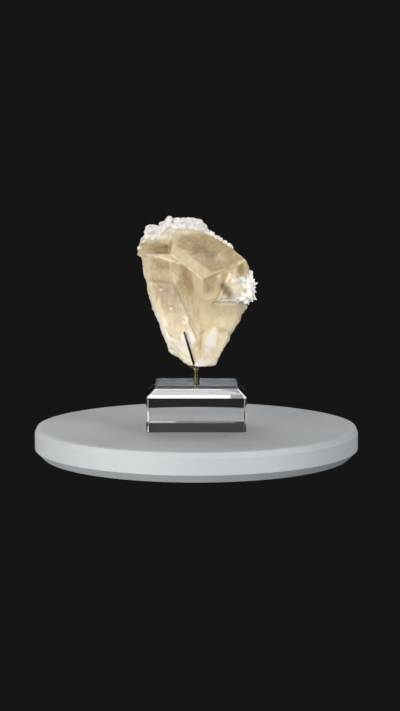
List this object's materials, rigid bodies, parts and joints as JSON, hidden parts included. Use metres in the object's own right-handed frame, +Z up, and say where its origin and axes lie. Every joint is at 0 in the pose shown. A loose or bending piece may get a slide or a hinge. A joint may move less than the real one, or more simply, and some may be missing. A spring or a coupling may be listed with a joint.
{
  "type": "calcite specimen",
  "caption": "Calcite crystal group with flat honey-coloured faces and a crust of small white crystals, held by brass prongs on a post in a clear acrylic block.",
  "frame": {"origin": "centre of the clear block's underside", "axes": "+Z up, +X to the viewer's right, +Y away from the viewer of the front face"},
  "size_m": [0.1265, 0.1016, 0.2159],
  "materials": {
    "calcite": "translucent honey calcite, glossy flat faces, frosted white crust",
    "clear_acrylic": "polished clear acrylic",
    "aged_brass": "brown patina, worn bright along edges"
  },
  "bodies": {
    "root": {"calcite_crystal": "calcite", "clear_block": "clear_acrylic", "brass_post": "aged_brass", "front_prong": "aged_brass", "left_prong": "aged_brass", "rear_prong": "aged_brass"}
  },
  "joints": []
}
